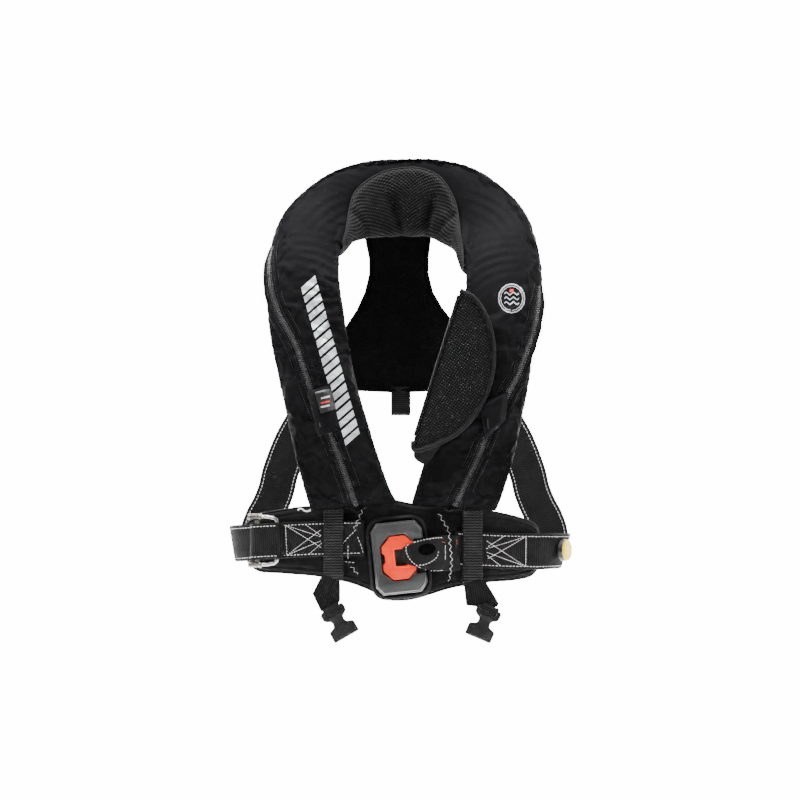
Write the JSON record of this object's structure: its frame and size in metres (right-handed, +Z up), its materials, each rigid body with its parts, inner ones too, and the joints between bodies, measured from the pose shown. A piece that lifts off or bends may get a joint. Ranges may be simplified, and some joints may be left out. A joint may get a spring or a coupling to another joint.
{
  "type": "inflatable life jacket",
  "caption": "Horseshoe-shaped inflatable life jacket with a folded bladder in a zipped cover, mesh neck pad, comfort flap, back panel, waist belt, centre buckle and crotch strap buckles.",
  "frame": {"origin": "middle of the neck opening, at the height of the top of the chest", "axes": "+Z up along the wearer, the wearer faces -Y, +X is to the right as seen from the front"},
  "size_m": [0.434, 0.2269, 0.609],
  "materials": {
    "cover_cloth": "semi-matt coated woven nylon",
    "lining_cloth": "matt woven lining",
    "mesh_cloth": "padded honeycomb spacer mesh",
    "fine_mesh": "fine spacer mesh",
    "binding": "woven edge binding",
    "webbing": "ribbed polyester webbing with white stitching",
    "bladder_film": "coated yellow bladder cloth",
    "zip_tape": "woven zip tape",
    "zip_plastic": "moulded zip teeth",
    "label_cloth": "woven label",
    "pad_cloth": "padded woven cloth",
    "grey_plastic": "moulded glass-filled nylon",
    "orange_plastic": "moulded acetal",
    "black_plastic": "moulded acetal",
    "yellow_plastic": "moulded plastic",
    "steel": "polished stainless steel",
    "cylinder_steel": "zinc plated steel",
    "red_plastic": "moulded plastic"
  },
  "bodies": {
    "root": {"cover_front_left": "cover_cloth", "cover_rear_left": "lining_cloth", "cover_front_right": "cover_cloth", "cover_rear_right": "lining_cloth", "cover_front_neck": "cover_cloth", "cover_rear_neck": "lining_cloth", "neck_mesh_pad": "mesh_cloth", "bladder": "bladder_film", "zip_tape_left": "zip_tape", "zip_teeth_left": "zip_plastic", "zip_garage_left": "cover_cloth", "zip_tape_right": "zip_tape", "zip_teeth_right": "zip_plastic", "zip_garage_right": "cover_cloth", "label_patch": "label_cloth", "flap_web": "lining_cloth", "back_panel": "fine_mesh", "back_panel_binding": "binding", "hanging_tab": "webbing", "belt_pad_left": "pad_cloth", "belt_webbing_left": "webbing", "back_strap_left": "webbing", "crotch_loop_left": "webbing", "crotch_tail_left": "webbing", "belt_pad_right": "pad_cloth", "belt_webbing_right": "webbing", "back_strap_right": "webbing", "crotch_loop_right": "webbing", "crotch_tail_right": "webbing", "buckle_pad": "pad_cloth", "buckle_frame": "grey_plastic", "buckle_spring": "steel", "buckle_rivets": "steel", "tether_loop": "webbing", "adjuster_sleeves": "steel", "adjuster_tooth_bar": "steel", "side_button_base": "black_plastic", "side_button_cap": "yellow_plastic", "gas_cylinder": "cylinder_steel", "inflator_body": "black_plastic", "lever_pin": "steel", "oral_tube": "black_plastic", "whistle": "red_plastic"},
    "flap": {"comfort_flap": "mesh_cloth", "comfort_flap_binding": "binding"},
    "slider_left": {"zip_slider_left": "zip_plastic"},
    "slider_right": {"zip_slider_right": "zip_plastic"},
    "socket_left": {"crotch_buckle_left": "black_plastic"},
    "socket_right": {"crotch_buckle_right": "black_plastic"},
    "tongue": {"buckle_tongue": "orange_plastic"},
    "bow": {"adjuster_bow": "steel"},
    "lever": {"firing_lever": "red_plastic"},
    "cap": {"oral_cap": "red_plastic"}
  },
  "joints": [
    {"name": "flap_fold", "type": "hinge", "parent": "root", "child": "flap", "pos_m": [0.0405, -0.1275, -0.133], "axis": [-0.2989, 0, -0.9543], "range_deg": [0, 150]},
    {"name": "zip_left", "type": "slide", "parent": "root", "child": "slider_left", "axis": [0.3254, 0.03, -0.9451], "range_m": [0, 0.07]},
    {"name": "zip_right", "type": "slide", "parent": "root", "child": "slider_right", "axis": [-0.4224, 0.03, -0.9059], "range_m": [0, 0.07]},
    {"name": "socket_swing_left", "type": "hinge", "parent": "root", "child": "socket_left", "pos_m": [-0.0895, -0.0924, -0.43893], "axis": [0.866, 0, 0.5], "range_deg": [-60, 60]},
    {"name": "socket_swing_right", "type": "hinge", "parent": "root", "child": "socket_right", "pos_m": [0.10622, -0.0924, -0.43904], "axis": [0.9205, 0, -0.3907], "range_deg": [-60, 60]},
    {"name": "tongue_press", "type": "slide", "parent": "root", "child": "tongue", "axis": [0, 1, 0], "range_m": [0, 0.0025], "stiffness_N_per_m": 600, "springref_m": -0.003, "deforming": ["buckle_spring"]},
    {"name": "bow_slide", "type": "slide", "parent": "root", "child": "bow", "axis": [0.9411, -0.338, 0], "range_m": [0, 0.006]},
    {"name": "lever_pull", "type": "hinge", "parent": "root", "child": "lever", "pos_m": [-0.09729, -0.088, -0.23666], "axis": [0, -1, 0], "range_deg": [0, 75]},
    {"name": "cap_pull", "type": "slide", "parent": "root", "child": "cap", "axis": [0.2368, 0, 0.9715], "range_m": [0, 0.012]}
  ]
}
